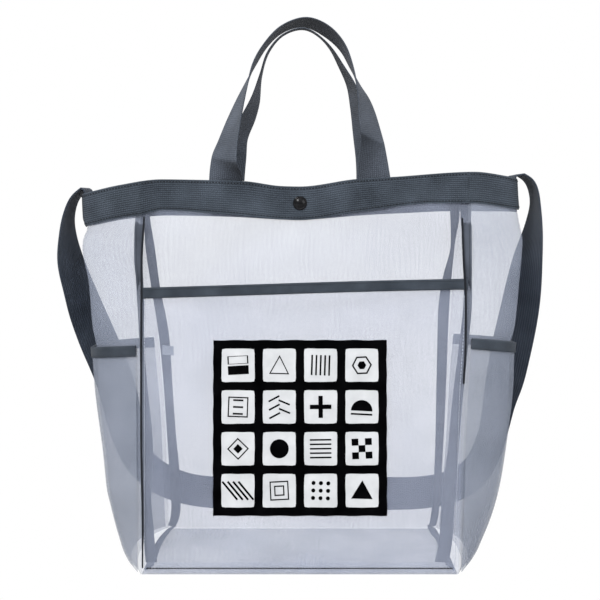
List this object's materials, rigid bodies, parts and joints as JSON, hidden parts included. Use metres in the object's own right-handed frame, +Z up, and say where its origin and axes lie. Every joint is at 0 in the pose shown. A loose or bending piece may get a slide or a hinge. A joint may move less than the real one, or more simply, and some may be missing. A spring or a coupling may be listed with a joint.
{
  "type": "beach bag",
  "caption": "See-through mesh beach tote with webbing handles, a shoulder strap, outside pockets and a snap at the mouth.",
  "frame": {"origin": "on the floor, under the middle of the flat base", "axes": "+Z up, +X to the right and +Y to the back when facing the front pocket"},
  "size_m": [0.5512, 0.1853, 0.5987],
  "materials": {
    "mesh": "fine translucent mesh",
    "webbing": "ribbed polyester webbing",
    "strap_webbing": "ribbed polyester webbing",
    "tape": "grosgrain binding tape",
    "snap": "glossy lacquer",
    "print": "printed patch",
    "label": "woven label"
  },
  "bodies": {
    "root": {"base_panel": "mesh", "back_panel": "mesh", "left_gusset": "mesh", "right_gusset": "mesh", "left_pocket": "mesh", "right_pocket": "mesh", "left_pocket_binding": "tape", "right_pocket_binding": "tape", "back_left_seam_tape": "tape", "back_right_seam_tape": "tape", "base_left_seam_tape": "tape", "base_right_seam_tape": "tape", "back_mouth_band": "webbing", "back_handle_left_end": "webbing", "back_handle_right_end": "webbing", "strap_left_end": "strap_webbing", "strap_right_end": "strap_webbing", "snap_cap_back": "snap", "snap_stud": "snap", "side_label": "label"},
    "front_wall": {"front_panel": "mesh", "front_pocket": "mesh", "front_pocket_binding": "tape", "print_patch": "print", "front_mouth_band": "webbing", "front_left_seam_tape": "tape", "front_right_seam_tape": "tape", "front_handle_left_end": "webbing", "front_handle_right_end": "webbing", "snap_cap_front": "snap", "snap_socket": "snap"},
    "front_handle": {"front_handle": "webbing"},
    "back_handle": {"back_handle": "webbing"},
    "shoulder_strap": {"shoulder_strap": "strap_webbing"}
  },
  "joints": [
    {"name": "mouth_open", "type": "hinge", "parent": "root", "child": "front_wall", "pos_m": [0, -0.086, 0.001], "axis": [1, 0, 0], "range_deg": [0, 7]},
    {"name": "front_handle_fold", "type": "hinge", "parent": "front_wall", "child": "front_handle", "pos_m": [0, -0.0195, 0.4255], "axis": [1, 0, 0], "range_deg": [0, 150]},
    {"name": "back_handle_fold", "type": "hinge", "parent": "root", "child": "back_handle", "pos_m": [0, 0.0195, 0.4255], "axis": [-1, 0, 0], "range_deg": [0, 150]},
    {"name": "strap_swing", "type": "hinge", "parent": "root", "child": "shoulder_strap", "pos_m": [0, 0, 0.428], "axis": [1, 0, 0], "range_deg": [0, 325]}
  ]
}
